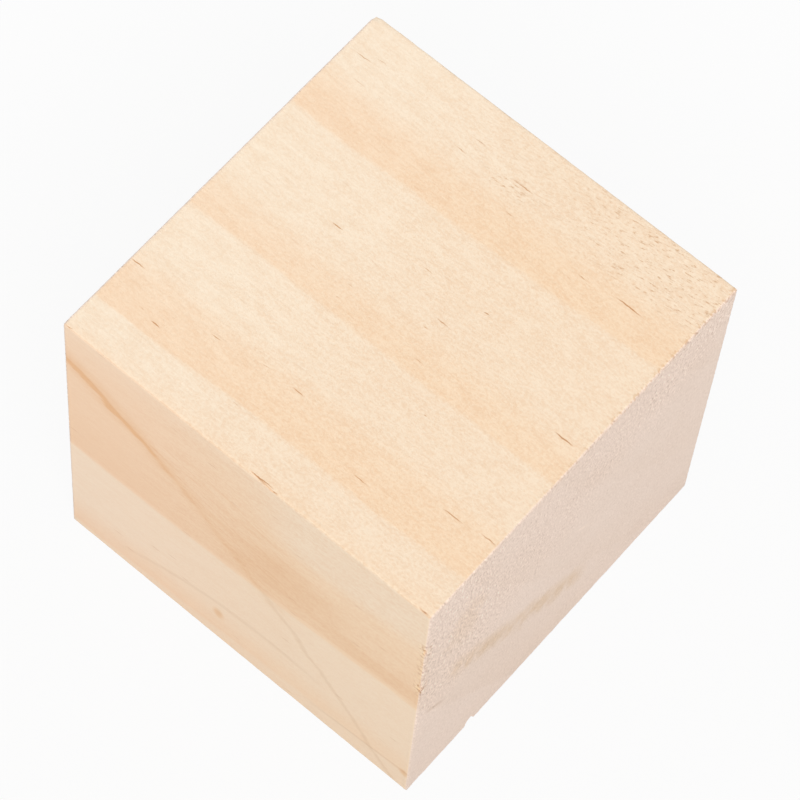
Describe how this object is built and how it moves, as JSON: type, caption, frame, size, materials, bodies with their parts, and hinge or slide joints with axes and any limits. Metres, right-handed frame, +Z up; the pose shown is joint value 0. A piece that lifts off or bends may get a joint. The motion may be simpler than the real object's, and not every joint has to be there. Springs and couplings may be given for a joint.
{
  "type": "wooden cube",
  "caption": "Solid softwood cube sawn from planed stick, a plain block for stacking, packing, propping or gluing.",
  "frame": {"origin": "centre of the bottom face, on the surface that the cube stands on", "axes": "+Z up, +X along the grain out of the sawn end face, +Y across the grain"},
  "size_m": [0.05, 0.05, 0.05],
  "materials": {
    "bare_pine": "bare planed pine, sawn end grain, unfinished and matte"
  },
  "bodies": {
    "root": {"wooden_cube": "bare_pine"}
  },
  "joints": []
}
